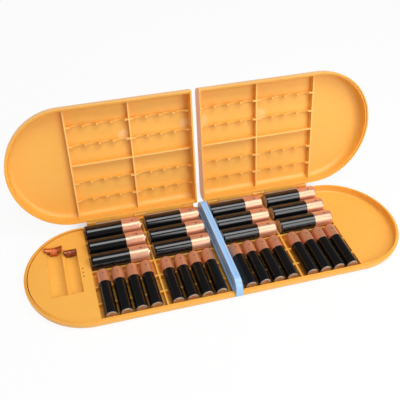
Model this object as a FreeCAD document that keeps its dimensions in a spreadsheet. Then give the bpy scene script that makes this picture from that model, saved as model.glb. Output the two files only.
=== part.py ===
"""Battery storage case: a shallow stadium-shaped tray under two hinged half lids.

The tray holds four columns of bays.  Each column has an AA half at the back and an
AAA half at the front, divided by scalloped ribs that seat either size of cell.  A
tester deck fills the left round end, the right round end is an open compartment and
a blue bar stands between the lids.  Millimetres, +Z up, origin at the centre of the
tray's flat underside, +X along the length, -Y towards the user.
"""

import FreeCAD
import Part
import Sketcher
import math
import os
from FreeCAD import Placement, Rotation, Vector

SIZES = (
    # cells
    ("aa_radius", 7.0, "AA cell"),
    ("aa_length", 49.8, "AA cell over its positive button"),
    ("aa_button_radius", 2.75, "AA positive button"),
    ("aa_button", 1.4, "height of the AA button"),
    ("aaa_radius", 5.15, "AAA cell"),
    ("aaa_length", 44.5, "AAA cell over its positive button"),
    ("aaa_button_radius", 1.9, "AAA positive button"),
    ("aaa_button", 1.2, "height of the AAA button"),
    # room around the cells
    ("cell_gap", 0.25, "under a cell that lies on the floor"),
    ("aa_row_gap", 2.5, "between two rows of AA cells"),
    ("aaa_row_gap", 1.55, "between two AAA cells"),
    ("aa_shift", 0.35, "AA cell's centre, forward of the middle of its band"),
    ("band_trim", 0.9, "how much narrower the bands at the rims are"),
    ("aaa_front_gap", 2.2, "AAA cell's end to the front wall"),
    ("aaa_back_gap", 1.9, "AAA cell's button to the middle of the case"),
    ("inner_end_gap", 0.6, "spare length in a column beside the centre"),
    ("outer_end_gap", 1.5, "spare length in a column beside a round end"),
    ("crest_room", 3.1, "rib beyond the scallops of one column"),
    ("lid_headroom", 2.75, "AA cell to the inside of a closed lid"),
    # walls of the case
    ("tray_height", 8.0, "underside to the tray's rim ledge"),
    ("floor", 2.0, "thickness of the tray's floor"),
    ("wall", 2.4, "width of the rim of the tray and of the lids"),
    ("end_offset", 3.0, "wall beside a round end to the centre of the end"),
    ("tray_edge_radius", 5.0, "rounding along the tray's lower outer edge"),
    ("floor_fillet", 1.5, "rounding between the tray's floor and its wall"),
    ("lip_inset", 1.5, "outer face of the raised lip, in from the outline"),
    ("lip_height", 0.8, "lip above the rim ledge"),
    ("lip_gap", 0.4, "between the lip and the ring of the lid around it"),
    ("rebate_depth", 1.0, "depth of the lid's rebate over the lip"),
    ("parting_gap", 0.3, "between the rim ledge and a closed lid"),
    ("lid_skin", 1.5, "thickness of a lid's top"),
    ("lid_edge_radius", 6.5, "rounding along a lid's outer edge"),
    ("lid_inner_radius", 4.4, "rounding inside a lid"),
    ("side_gap", 3.2, "centre line to the outer face of a lid's straight side"),
    ("side_wall", 1.4, "thickness of a lid's straight side"),
    ("weld", 0.5, "how far a rib or web runs into the wall that carries it"),
    # ribs
    ("rib", 1.4, "thickness of walls, ribs and the centre web"),
    ("rib_top", 6.5, "underside to the top of the tray's ribs"),
    ("lid_rib_depth", 5.0, "inside of a lid's top to the free edge of its ribs"),
    ("rib_start_x", 4.4, "centre line to the start of the tray's ribs"),
    ("scallop_fit", 0.35, "scallop's radius over an AAA cell's"),
    ("scallop_lift", 0.2, "axis of a tray scallop over the AAA cell's axis"),
    ("lid_scallop_drop", 6.8, "inside of a lid's top to the axis of its scallops"),
    ("scallop_margin", 3.0, "scallop cut's start before a rib and its end past one"),
    # hinges
    ("hinge_offset", 2.1, "hinge axis behind the outline"),
    ("hinge_rise", 2.1, "hinge axis above the rim ledge"),
    ("barrel_radius", 1.8, "outside radius of a knuckle"),
    ("pin_radius", 0.9, "hinge pin"),
    ("pin_clearance", 0.06, "between the pin and its bore"),
    ("hinge_start", 3.8, "lid's straight side to the inner end of a hinge"),
    ("inner_knuckle", 10.2, "length of the tray knuckle near the centre"),
    ("middle_knuckle", 11.6, "length of the middle tray knuckle"),
    ("middle_knuckle_shift", 0.4, "middle of that knuckle, out from its wall"),
    ("outer_knuckle", 8.0, "length of the tray knuckle near a round end"),
    ("hinge_inset", 7.8, "outer end of a hinge, in from the round end"),
    ("knuckle_gap", 0.4, "between neighbouring knuckles"),
    ("pin_recess", 0.5, "pin's end inside the end knuckle"),
    ("knuckle_foot", 3.4, "rim ledge down to the foot of a tray knuckle's gusset"),
    ("heel_reach", 2.7, "hinge axis to the back of a tray knuckle's heel"),
    ("heel_start", 0.9, "hinge axis to the front of the heel's stop face"),
    ("heel_drop", 2.5, "hinge axis down to the lower back corner of the heel"),
    ("stop_gap", 0.1, "between the stop face and a lid that leans on it"),
    ("open_angle", 108.2, "degrees from closed to the lid's rest on its stop"),
    # centre bar
    ("bar_width", 5.4, "blade of the bar"),
    ("bar_drop", 2.1, "top of the closed lids to the bar's top"),
    ("bar_corner", 10.0, "rounding at the ends of the bar's top"),
    ("bar_flange_width", 7.4, "ledge at the foot of the blade"),
    ("bar_flange_drop", 1.5, "top of the web to the bottom of the ledge"),
    ("bar_fit", 0.2, "clearance of the bar in the tray, and over the web"),
    ("bar_foot", 1.2, "thickness of the hooks over the front and back rims"),
    ("bar_foot_drop", 2.8, "rim ledge to the lower end of the hooks"),
    ("bar_groove_width", 1.6, "groove along the bar's top"),
    ("bar_groove_depth", 0.4, "depth of that groove"),
    # tester deck
    ("deck_gap", 0.7, "groove around the deck"),
    ("deck_thickness", 1.3, "plate of the deck"),
    ("aa_well_fit", 0.4, "AA well's radius over the cell's"),
    ("aaa_well_fit", 0.45, "AAA well's radius over the cell's"),
    ("aa_well_room", 1.5, "AA well's length over the cell's"),
    ("aaa_well_room", 1.3, "AAA well's length over the cell's"),
    ("well_margin", 8.9, "deck's straight edge to the AAA well"),
    ("well_web", 0.5, "between the two wells"),
    ("well_rise", 1.2, "tray's floor to the bottom of both wells"),
    ("well_shell", 1.0, "wall around the wells"),
    ("well_front", 19.3, "front end of the wells, forward of the centre line"),
    ("well_ridge_width", 2.6, "width of the lowered ridge between the wells"),
    ("well_ridge_drop", 1.4, "deck's top to the top of that ridge"),
    ("led_inset", 6.9, "deck's straight edge to the row of lights"),
    ("led_y", 0.6, "middle light, behind the centre line"),
    ("led_pitch", 4.2, "spacing of the lights"),
    ("led_hole_radius", 0.7, "window over each light"),
    ("led_radius", 0.7, "light"),
    ("led_drop", 0.3, "top of a light under the deck's plate"),
    ("board_width", 6.1, "circuit board across the case"),
    ("board_length", 52.0, "circuit board from front to back"),
    ("board_thickness", 1.0, "circuit board"),
    ("board_rise", 0.8, "tray's floor to the bottom of the board"),
    ("board_gap", 0.2, "between the board and the end wall"),
    ("board_pad", 4.0, "length of the tray's pads under the board"),
    ("chip_size", 3.6, "comparator chip on the board"),
    ("chip_height", 1.2, "height of the chip"),
    ("contact_thickness", 0.4, "spring copper"),
    ("contact_rise", 2.4, "deck's top to the top of a raised contact"),
    ("contact_gap", 0.2, "between a contact and its well"),
    ("contact_bow", 2.4, "how far the leaf stands off its plate"),
    ("contact_arc", 51.0, "degrees of the well's round that half a contact spans"),
    ("contact_leaf_share", 0.62, "leaf's width over the plate's width"),
    ("contact_leaf_rise", 1.4, "bottom of the wells to the foot of a leaf"),
    ("peg_radius", 1.5, "pegs that hold the deck"),
    ("peg_length", 2.6, "pegs under the plate"),
    ("peg_fit", 0.1, "clearance of a peg in its boss"),
    ("boss_radius", 3.0, "bosses on the tray's floor"),
    ("peg_inset", 6.5, "deck's round edge to the pegs"),
    ("peg_angle", 74.4, "degrees round the end between neighbouring pegs"),
)

ROWS = 3
CELLS = 4


class Size:
    """A number that remembers how the spreadsheet works it out."""

    def __init__(self, value, text):
        self.value = value
        self.text = text

    def _join(self, other, sign, result, swap=False):
        text = other.text if isinstance(other, Size) else repr(other)
        pair = (text, self.text) if swap else (self.text, text)
        return Size(result, f"({pair[0]} {sign} {pair[1]})")

    def __add__(self, other):
        return self._join(other, "+", self.value + number(other))

    def __radd__(self, other):
        return self._join(other, "+", number(other) + self.value, True)

    def __sub__(self, other):
        return self._join(other, "-", self.value - number(other))

    def __rsub__(self, other):
        return self._join(other, "-", number(other) - self.value, True)

    def __mul__(self, other):
        return self._join(other, "*", self.value * number(other))

    def __rmul__(self, other):
        return self._join(other, "*", number(other) * self.value, True)

    def __truediv__(self, other):
        return self._join(other, "/", self.value / number(other))

    def __neg__(self):
        return Size(-self.value, f"(0 - {self.text})")


def number(size):
    """The plain number in a Size, or the number itself."""
    return size.value if isinstance(size, Size) else size


def text(size):
    """The expression for a Size or a plain number."""
    return size.text if isinstance(size, Size) else repr(size)


def larger(first, second):
    """The larger of two sizes."""
    value = max(number(first), number(second))
    return Size(value, f"max({text(first)}; {text(second)})")


def cosine(angle):
    return Size(math.cos(math.radians(angle.value)), f"cos({angle.text} * 1deg)")


def sine(angle):
    return Size(math.sin(math.radians(angle.value)), f"sin({angle.text} * 1deg)")


doc = FreeCAD.newDocument("battery_case")
sheet = doc.addObject("Spreadsheet::Sheet", "Sizes")
for row, (alias, value, note) in enumerate(SIZES, start=1):
    sheet.set(f"A{row}", note)
    sheet.set(f"B{row}", str(value))
    sheet.setAlias(f"B{row}", alias)
doc.recompute()


class Dimensions:
    """Every driving size, and the levels and places worked out from them."""

    def __init__(self):
        for alias, value, _ in SIZES:
            setattr(self, alias, Size(value, f"Sizes.{alias}"))


D = Dimensions()

# Bays, worked out from the cells they hold.
band_pitch = D.aa_radius * 2 + D.aa_row_gap
scallop_pitch = D.aaa_radius * 2 + D.aaa_row_gap
scallop_radius = D.aaa_radius + D.scallop_fit
scallop_level = D.floor + D.cell_gap + D.aaa_radius + D.scallop_lift
column_room = larger(D.aa_length, scallop_pitch * CELLS + D.crest_room)
inner_bay_x = D.side_gap + D.side_wall
mid_wall_x = inner_bay_x + column_room + D.inner_end_gap + D.rib / 2
end_wall_x = mid_wall_x + column_room + D.outer_end_gap + D.rib
outer_column_x = (mid_wall_x + end_wall_x) / 2
inner_column_x = (mid_wall_x - D.rib / 2 + inner_bay_x) / 2

# Outline and levels of the case.
aaa_depth = D.aaa_front_gap + D.aaa_length + D.aaa_back_gap
inner_radius = larger(band_pitch * ROWS - D.band_trim, aaa_depth)
end_radius = inner_radius + D.wall
half_straight = end_wall_x + D.end_offset
rim_level = D.tray_height + D.parting_gap
lid_ceiling = D.floor + D.cell_gap + D.aa_radius * 2 + D.lid_headroom
closed_height = lid_ceiling + D.lid_skin
lid_rib_level = lid_ceiling - D.lid_rib_depth
lid_scallop_level = lid_ceiling - D.lid_scallop_drop

# Hinges.
axis_y = end_radius + D.hinge_offset
axis_z = D.tray_height + D.hinge_rise
bore_radius = D.pin_radius + D.pin_clearance
hinge_start_x = D.side_gap + D.hinge_start
hinge_end_x = half_straight - D.hinge_inset
middle_knuckle_x = mid_wall_x + D.middle_knuckle_shift

# Tester deck.
deck_level = D.rib_top + D.deck_thickness
deck_radius = inner_radius - D.deck_gap
deck_edge_x = end_wall_x - D.rib / 2
aa_well_radius = D.aa_radius + D.aa_well_fit
aaa_well_radius = D.aaa_radius + D.aaa_well_fit
aaa_well_x = deck_edge_x + D.well_margin + aaa_well_radius
aa_well_x = aaa_well_x + aaa_well_radius + D.well_web + aa_well_radius
aa_well_back = D.aa_length + D.aa_well_room - D.well_front
aaa_well_back = D.aaa_length + D.aaa_well_room - D.well_front
well_bottom = D.floor + D.well_rise
led_x = deck_edge_x + D.led_inset
board_rest = D.floor + D.board_rise


# ---------------------------------------------------------------- modelling helpers


def body(name):
    """A new PartDesign body with its own label."""
    new = doc.addObject("PartDesign::Body", name)
    new.Label = name
    return new


def sketch(owner, name, plane, offset=0):
    """A sketch on one of the body's own origin planes, moved along its normal."""
    new = owner.newObject("Sketcher::SketchObject", f"{owner.Name}_{name}")
    support = [f for f in owner.Origin.OriginFeatures if f.Role == plane]
    new.AttachmentSupport = (support[0], [""])
    new.MapMode = "FlatFace"
    new.AttachmentOffset = Placement(Vector(0, 0, number(offset)), Rotation())
    new.setExpression("AttachmentOffset.Base.z", text(offset))
    return new


def pin_point(target, edge, end, place):
    """Tie one point of an edge to a place given by two sizes."""
    for kind, size in zip(("DistanceX", "DistanceY"), place):
        at = target.addConstraint(
            Sketcher.Constraint(kind, -1, 1, edge, end, number(size))
        )
        target.renameConstraint(at, f"c{at}")
        target.setExpression(f"Constraints.c{at}", text(size))


def outline(target, corners, bends=None):
    """A closed outline: straight from corner to corner, or an arc where bends has one.

    bends maps the number of an edge to (radius, turn), where turn is 1 if the arc's
    centre lies to the left of the way round and -1 if it lies to the right.
    """
    bends = bends or {}
    count = len(corners)
    ends = []
    for at, start in enumerate(corners):
        a = Vector(number(start[0]), number(start[1]), 0)
        finish = corners[(at + 1) % count]
        b = Vector(number(finish[0]), number(finish[1]), 0)
        if at not in bends:
            ends.append((target.addGeometry(Part.LineSegment(a, b), False), 1, 2))
            continue
        radius, turn = bends[at]
        half = (b - a).multiply(0.5)
        left = Vector(-half.y, half.x, 0).normalize()
        reach = math.sqrt(max(number(radius) ** 2 - half.Length**2, 0.0))
        centre = a + half + left * (turn * reach)
        first, last = (a, b) if turn > 0 else (b, a)
        turned = [math.atan2(p.y - centre.y, p.x - centre.x) for p in (first, last)]
        circle = Part.Circle(centre, Vector(0, 0, 1), number(radius))
        edge = target.addGeometry(Part.ArcOfCircle(circle, *turned), False)
        ends.append((edge, 1, 2) if turn > 0 else (edge, 2, 1))
        size = target.addConstraint(
            Sketcher.Constraint("Radius", edge, number(radius))
        )
        target.renameConstraint(size, f"c{size}")
        target.setExpression(f"Constraints.c{size}", text(radius))
    for at, (edge, start, _) in enumerate(ends):
        before, _, end = ends[at - 1]
        target.addConstraint(Sketcher.Constraint("Coincident", before, end, edge, start))
        pin_point(target, edge, start, corners[at])


def box(target, low, high):
    """A rectangle between two opposite corners."""
    outline(target, (low, (high[0], low[1]), high, (low[0], high[1])))


def disc(target, centre, radius):
    """A circle."""
    circle = Part.Circle(
        Vector(number(centre[0]), number(centre[1]), 0), Vector(0, 0, 1), number(radius)
    )
    edge = target.addGeometry(circle, False)
    pin_point(target, edge, 3, centre)
    size = target.addConstraint(Sketcher.Constraint("Radius", edge, number(radius)))
    target.renameConstraint(size, f"c{size}")
    target.setExpression(f"Constraints.c{size}", text(radius))


def stadium(target, straight, radius):
    """The whole case's outline, as four quarter rounds and two straights."""
    outline(
        target,
        (
            (-straight, -radius),
            (straight, -radius),
            (straight + radius, 0),
            (straight, radius),
            (-straight, radius),
            (-straight - radius, 0),
        ),
        {1: (radius, 1), 2: (radius, 1), 4: (radius, 1), 5: (radius, 1)},
    )


def half_stadium(target, way, side, straight, radius):
    """One end of the case, the left one for -1 or the right one for 1, from a flat side out."""
    outline(
        target,
        (
            (side * way, radius * way),
            (side * way, radius * -way),
            (straight * way, radius * -way),
            ((straight + radius) * way, 0),
            (straight * way, radius * way),
        ),
        {2: (radius, 1), 3: (radius, 1)},
    )


def add(kind, owner, profile, length, reverse=False, both=False):
    """A Pad or Pocket of a sketch; a cut that takes nothing away is an error."""
    before = owner.Shape.Volume if owner.Shape and not owner.Shape.isNull() else 0.0
    new = owner.newObject(f"PartDesign::{kind}", f"{profile.Name}_{kind}")
    new.Profile = profile
    new.Length = number(length)
    new.setExpression("Length", text(length))
    new.Reversed = reverse
    new.Midplane = both
    profile.Visibility = False
    doc.recompute()
    if kind == "Pocket" and owner.Shape.Volume > before - 1e-6:
        raise RuntimeError(f"{new.Name} cuts nothing")
    return new


def round_edges(owner, name, radius, chosen):
    """A fillet on the edges that the test picks."""
    base = owner.Tip
    numbered = enumerate(base.Shape.Edges, start=1)
    edges = [f"Edge{at}" for at, edge in numbered if chosen(edge)]
    new = owner.newObject("PartDesign::Fillet", f"{owner.Name}_{name}")
    new.Base = (base, edges)
    new.Radius = number(radius)
    new.setExpression("Radius", text(radius))
    doc.recompute()
    return new


def at_level(level, beyond=None):
    """Picks flat edges at one height, beyond a distance from the centre line in X."""

    def chosen(edge):
        bounds = edge.BoundBox
        flat = max(abs(bounds.ZMin - number(level)), abs(bounds.ZMax - number(level)))
        if flat > 1e-4:
            return False
        return beyond is None or min(bounds.XMin, -bounds.XMax) < -number(beyond) - 0.01

    return chosen


def turned_about_x(degrees):
    """Opens something about the hinge axis."""
    centre = Vector(0, axis_y.value, axis_z.value)
    return Placement(Vector(), Rotation(Vector(-1, 0, 0), degrees), centre)


def columns(centres):
    """X of every scallop in the given columns."""
    shifts = [(cell - (CELLS - 1) / 2) for cell in range(CELLS)]
    return [centre + scallop_pitch * shift for centre in centres for shift in shifts]


def scallops(owner, name, centres, level):
    """Cuts the four scalloped ribs of each column, and leaves the middle rib straight."""
    start = band_pitch - D.scallop_margin
    length = band_pitch + D.scallop_margin * 2
    for half, way in (("front", 1), ("back", -1)):
        cut = sketch(owner, f"{name}_{half}", "XZ_Plane", start * way)
        for x in columns(centres):
            disc(cut, (x, level), scallop_radius)
        add("Pocket", owner, cut, length, reverse=(way == 1))


def rib_rows():
    """Y of the five ribs, from the front."""
    return [band_pitch * row for row in range(1 - ROWS, ROWS)]


# ------------------------------------------------------------------------ hinges


def knuckle_stations():
    """Where the three tray knuckles of a hinge start and end, from the centre."""
    middle = D.middle_knuckle / 2
    return (
        (hinge_start_x, hinge_start_x + D.inner_knuckle),
        (middle_knuckle_x - middle, middle_knuckle_x + middle),
        (hinge_end_x - D.outer_knuckle, hinge_end_x),
    )


def tray_knuckle(owner, name, start, end):
    """A knuckle on the tray: a gusset, a barrel and the heel that stops the lid."""
    lean, rise = cosine(D.open_angle), sine(D.open_angle)
    stop = D.hinge_offset - D.stop_gap

    def stop_face(reach):
        return axis_z + (stop + reach * lean) / rise

    corners = (
        (end_radius - D.weld, D.tray_height - D.knuckle_foot),
        (end_radius, D.tray_height - D.knuckle_foot),
        (axis_y + D.heel_reach, axis_z - D.heel_drop),
        (axis_y + D.heel_reach, stop_face(D.heel_reach)),
        (axis_y + D.heel_start, stop_face(D.heel_start)),
        (axis_y, axis_z + D.barrel_radius),
        (axis_y - D.barrel_radius, axis_z),
        (axis_y - D.barrel_radius, D.tray_height),
        (end_radius - D.weld, D.tray_height),
    )
    profile = sketch(owner, name, "YZ_Plane", -end)
    outline(profile, corners, {5: (D.barrel_radius, 1)})
    return add("Pad", owner, profile, end - start)


def lid_knuckle(owner, name, way, start, end):
    """A knuckle on a lid: a barrel on a web as tall as the barrel."""
    corners = (
        (end_radius - D.weld, axis_z - D.barrel_radius),
        (axis_y, axis_z - D.barrel_radius),
        (axis_y + D.barrel_radius, axis_z),
        (axis_y, axis_z + D.barrel_radius),
        (end_radius - D.weld, axis_z + D.barrel_radius),
    )
    profile = sketch(owner, name, "YZ_Plane", start if way > 0 else -end)
    outline(profile, corners, {1: (D.barrel_radius, 1), 2: (D.barrel_radius, 1)})
    return add("Pad", owner, profile, end - start)


def hinge_bore(owner):
    """The pin's bore through every knuckle of the piece."""
    profile = sketch(owner, "bore", "YZ_Plane")
    disc(profile, (axis_y, axis_z), bore_radius)
    add("Pocket", owner, profile, half_straight * 2, both=True)


def hinge_pin(name, way):
    """A steel pin in one hinge."""
    pin = doc.addObject("Part::Cylinder", name)
    pin.Label = name
    pin.setExpression("Radius", text(D.pin_radius))
    length = hinge_end_x - hinge_start_x - D.pin_recess * 2
    pin.setExpression("Height", text(length))
    middle = (hinge_end_x + hinge_start_x) / 2 * way
    turn = Rotation(Vector(0, 1, 0), 90)
    start = Vector((middle - length / 2).value, axis_y.value, axis_z.value)
    pin.Placement = Placement(start, turn)
    pin.setExpression("Placement.Base.x", text(middle - length / 2))
    pin.setExpression("Placement.Base.y", text(axis_y))
    pin.setExpression("Placement.Base.z", text(axis_z))
    return pin


# -------------------------------------------------------------------------- tray


def deck_pegs():
    """Places of the three pegs under the tester deck."""
    circle = deck_radius - D.peg_inset
    side_x = -half_straight - circle * cosine(D.peg_angle)
    side_y = circle * sine(D.peg_angle)
    return ((side_x, -side_y), (side_x, side_y), (-half_straight - circle, 0))


def board_edges():
    """X of the circuit board's left and right edges."""
    right = end_wall_x + D.rib / 2 + D.board_gap
    return -right - D.board_width, -right


def make_tray():
    tray = body("base_tray")

    shell = sketch(tray, "shell", "XY_Plane")
    stadium(shell, half_straight, end_radius)
    add("Pad", tray, shell, D.tray_height)
    round_edges(tray, "lower_edge", D.tray_edge_radius, at_level(0))

    hollow = sketch(tray, "hollow", "XY_Plane", D.tray_height)
    stadium(hollow, half_straight, inner_radius)
    add("Pocket", tray, hollow, D.tray_height - D.floor)
    round_edges(tray, "floor_edge", D.floor_fillet, at_level(D.floor))

    lip = sketch(tray, "lip", "XY_Plane", D.tray_height)
    stadium(lip, half_straight, end_radius - D.lip_inset)
    stadium(lip, half_straight, inner_radius)
    add("Pad", tray, lip, D.lip_height)
    gate = sketch(tray, "lip_gate", "XY_Plane", D.tray_height + D.lip_height)
    gate_x = inner_bay_x + D.lip_gap
    box(gate, (-gate_x, -end_radius), (gate_x, end_radius))
    add("Pocket", tray, gate, D.lip_height)

    walls = sketch(tray, "walls", "XY_Plane", D.floor)
    reach = inner_radius + D.weld
    half = D.rib / 2
    for x in (-end_wall_x, -mid_wall_x, 0, mid_wall_x, end_wall_x):
        box(walls, (x - half, -reach), (x + half, reach))
    add("Pad", tray, walls, D.rib_top - D.floor)

    ribs = sketch(tray, "ribs", "XY_Plane", D.floor)
    for y in rib_rows():
        box(ribs, (-end_wall_x, y - half), (-D.rib_start_x, y + half))
        box(ribs, (D.rib_start_x, y - half), (end_wall_x, y + half))
    add("Pad", tray, ribs, D.rib_top - D.floor)
    centres = (-outer_column_x, -inner_column_x, inner_column_x, outer_column_x)
    scallops(tray, "scallops", centres, scallop_level)

    bosses = sketch(tray, "bosses", "XY_Plane", D.floor)
    for place in deck_pegs():
        disc(bosses, place, D.boss_radius)
    add("Pad", tray, bosses, D.rib_top - D.floor)
    sockets = sketch(tray, "sockets", "XY_Plane", D.rib_top)
    for place in deck_pegs():
        disc(sockets, place, D.peg_radius + D.peg_fit)
    add("Pocket", tray, sockets, D.peg_length + D.peg_fit)

    pads = sketch(tray, "board_pads", "XY_Plane", D.floor)
    left, right = board_edges()
    for way in (-1, 1):
        middle = D.board_length / 2 * way - D.board_pad / 2 * way
        low = (left, middle - D.board_pad / 2)
        box(pads, low, (right, middle + D.board_pad / 2))
    add("Pad", tray, pads, board_rest - D.floor)

    for name, (start, end) in zip(("inner", "middle", "outer"), knuckle_stations()):
        tray_knuckle(tray, f"left_{name}_knuckle", start, end)
        tray_knuckle(tray, f"right_{name}_knuckle", -end, -start)
    hinge_bore(tray)
    return tray


# -------------------------------------------------------------------------- lids


def make_lid(name, way):
    """A lid, drawn closed and then opened about the hinge axis; way is -1 for the left."""
    lid = body(name)

    shell = sketch(lid, "shell", "XY_Plane", rim_level)
    half_stadium(shell, way, D.side_gap, half_straight, end_radius)
    add("Pad", lid, shell, closed_height - rim_level)

    hollow = sketch(lid, "hollow", "XY_Plane", rim_level)
    half_stadium(hollow, way, inner_bay_x, half_straight, inner_radius)
    add("Pocket", lid, hollow, lid_ceiling - rim_level, reverse=True)
    round_edges(lid, "inner_edge", D.lid_inner_radius, at_level(lid_ceiling, inner_bay_x))

    rebate = sketch(lid, "rebate", "XY_Plane", rim_level)
    ring = D.lip_inset - D.lip_gap
    half_stadium(rebate, way, inner_bay_x, half_straight, end_radius - ring)
    add("Pocket", lid, rebate, D.rebate_depth, reverse=True)

    ribs = sketch(lid, "walls", "XY_Plane", lid_rib_level)
    reach = inner_radius + D.weld
    half = D.rib / 2
    for x in (mid_wall_x * way, end_wall_x * way):
        box(ribs, (x - half, -reach), (x + half, reach))
    height = lid_ceiling - lid_rib_level + D.weld
    add("Pad", lid, ribs, height)
    rows = sketch(lid, "ribs", "XY_Plane", lid_rib_level)
    inner, outer = (inner_bay_x - D.weld) * way, end_wall_x * way
    low, high = (inner, outer) if way > 0 else (outer, inner)
    for y in rib_rows():
        box(rows, (low, y - half), (high, y + half))
    add("Pad", lid, rows, height)
    centres = (outer_column_x * way, inner_column_x * way)
    scallops(lid, "scallops", centres, lid_scallop_level)

    top = at_level(closed_height, D.side_gap)
    round_edges(lid, "outer_edge", D.lid_edge_radius, top)

    inner, middle, outer = knuckle_stations()
    gap = D.knuckle_gap
    lid_knuckle(lid, "inner_knuckle", way, inner[1] + gap, middle[0] - gap)
    lid_knuckle(lid, "outer_knuckle", way, middle[1] + gap, outer[0] - gap)
    hinge_bore(lid)

    lid.Placement = turned_about_x(D.open_angle.value)
    return lid


# -------------------------------------------------------------------- centre bar


def make_bar():
    """The blue bar: a blade on a ledge, hooked over the rims and astride the web."""
    bar = body("centre_bar")
    seat = inner_radius - D.bar_fit
    outer = end_radius + D.bar_foot
    bar_top = closed_height - D.bar_drop
    shoulder = bar_top - D.bar_corner
    flange_base = D.rib_top - D.bar_flange_drop
    foot_base = D.tray_height - D.bar_foot_drop
    corners = (
        (-seat, flange_base),
        (seat, flange_base),
        (seat, D.tray_height),
        (end_radius, D.tray_height),
        (end_radius, foot_base),
        (outer, foot_base),
        (outer, shoulder),
        (outer - D.bar_corner, bar_top),
        (-outer + D.bar_corner, bar_top),
        (-outer, shoulder),
        (-outer, foot_base),
        (-end_radius, foot_base),
        (-end_radius, D.tray_height),
        (-seat, D.tray_height),
    )
    blade = sketch(bar, "blade", "YZ_Plane")
    outline(blade, corners, {6: (D.bar_corner, 1), 8: (D.bar_corner, 1)})
    add("Pad", bar, blade, D.bar_width, both=True)

    ledge = sketch(bar, "ledge", "XY_Plane", flange_base)
    half = D.bar_flange_width / 2
    box(ledge, (-half, -seat), (half, seat))
    add("Pad", bar, ledge, D.tray_height - flange_base)

    slot = sketch(bar, "slot", "XY_Plane", flange_base)
    half = D.rib / 2 + D.bar_fit / 2
    box(slot, (-half, -seat), (half, seat))
    add("Pocket", bar, slot, D.rib_top - flange_base, reverse=True)

    groove = sketch(bar, "groove", "XY_Plane", bar_top)
    half = D.bar_groove_width / 2
    end = outer - D.bar_corner
    box(groove, (-half, -end), (half, end))
    add("Pocket", bar, groove, D.bar_groove_depth)
    return bar


# ------------------------------------------------------------------- tester deck


def make_deck():
    """The deck over the left round end, with its two test wells moulded in."""
    deck = body("tester_deck")
    plate = sketch(deck, "plate", "XY_Plane", D.rib_top)
    half_stadium(plate, -1, deck_edge_x, half_straight, deck_radius)
    add("Pad", deck, plate, D.deck_thickness)

    left = -aa_well_x - aa_well_radius - D.well_shell
    step = -(aa_well_x - aa_well_radius)
    right = -aaa_well_x + aaa_well_radius + D.well_shell
    front = -D.well_front - D.well_shell
    tubs = sketch(deck, "tubs", "XY_Plane", D.rib_top)
    outline(
        tubs,
        (
            (left, front),
            (right, front),
            (right, aaa_well_back + D.well_shell),
            (step + D.well_shell, aaa_well_back + D.well_shell),
            (step + D.well_shell, aa_well_back + D.well_shell),
            (left, aa_well_back + D.well_shell),
        ),
    )
    depth = D.rib_top - well_bottom + D.well_shell
    add("Pad", deck, tubs, depth, reverse=True)

    wells = (
        ("aa_well", aa_well_x, aa_well_radius, aa_well_back),
        ("aaa_well", aaa_well_x, aaa_well_radius, aaa_well_back),
    )
    for name, x, radius, back in wells:
        well = sketch(deck, name, "XZ_Plane", D.well_front)
        disc(well, (-x, well_bottom + radius), radius)
        add("Pocket", deck, well, D.well_front + back)

    ridge = sketch(deck, "ridge", "XY_Plane", deck_level)
    middle = -(aa_well_x - aa_well_radius + aaa_well_x + aaa_well_radius) / 2
    half = D.well_ridge_width / 2
    box(ridge, (middle - half, -D.well_front), (middle + half, aaa_well_back))
    add("Pocket", deck, ridge, D.well_ridge_drop)

    windows = sketch(deck, "windows", "XY_Plane", deck_level)
    for place in led_places():
        disc(windows, place, D.led_hole_radius)
    add("Pocket", deck, windows, D.deck_thickness)

    pegs = sketch(deck, "pegs", "XY_Plane", D.rib_top)
    for place in deck_pegs():
        disc(pegs, place, D.peg_radius)
    add("Pad", deck, pegs, D.peg_length, reverse=True)
    return deck


def led_places():
    """Places of the three lights, from the front."""
    return [(-led_x, D.led_y + D.led_pitch * step) for step in (-1, 0, 1)]


def make_contact(name, x, radius, wall_y, way, top, leaf):
    """A copper contact at one end of a well; way is 1 at the back and -1 in front."""
    contact = body(name)
    near = wall_y - (D.contact_gap + D.contact_thickness) * way
    fit = radius - D.contact_gap
    axis = well_bottom + radius
    width = fit * sine(D.contact_arc)
    shoulder = axis - fit * cosine(D.contact_arc)
    front = near if way > 0 else near - D.contact_thickness
    # a sketch on the XZ plane has its normal along -Y
    plate = sketch(contact, "plate", "XZ_Plane", -front)
    outline(
        plate,
        (
            (-x - width, top),
            (-x - width, shoulder),
            (-x + width, shoulder),
            (-x + width, top),
        ),
        {1: (fit, 1)},
    )
    add("Pad", contact, plate, D.contact_thickness, reverse=True)
    if not leaf:
        return contact
    bow = D.contact_bow
    leaf_base = well_bottom + D.contact_leaf_rise
    rise = (top - leaf_base) / 2
    thick = D.contact_thickness
    # the arc through both ends of the leaf and its crest
    curve = (rise * rise + bow * bow) / (bow * 2)
    strip = sketch(contact, "leaf", "YZ_Plane", -x - width * D.contact_leaf_share)
    corners = (
        (near, top),
        (near, leaf_base),
        (near + thick, leaf_base),
        (near + thick, top),
    )
    outline(strip, corners, {0: (curve, 1), 2: (curve, -1)})
    add("Pad", contact, strip, width * D.contact_leaf_share * 2)
    return contact


def make_block(name, low, high):
    """A plain block between two corners."""
    block = doc.addObject("Part::Box", name)
    block.Label = name
    for side, start, end in zip(("Length", "Width", "Height"), low, high):
        block.setExpression(side, text(end - start))
    for axis, start in zip("xyz", low):
        block.setExpression(f"Placement.Base.{axis}", text(start))
    return block


def make_rod(name, centre, radius, height):
    """A plain upright cylinder."""
    rod = doc.addObject("Part::Cylinder", name)
    rod.Label = name
    rod.setExpression("Radius", text(radius))
    rod.setExpression("Height", text(height))
    for axis, start in zip("xyz", centre):
        rod.setExpression(f"Placement.Base.{axis}", text(start))
    return rod


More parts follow.
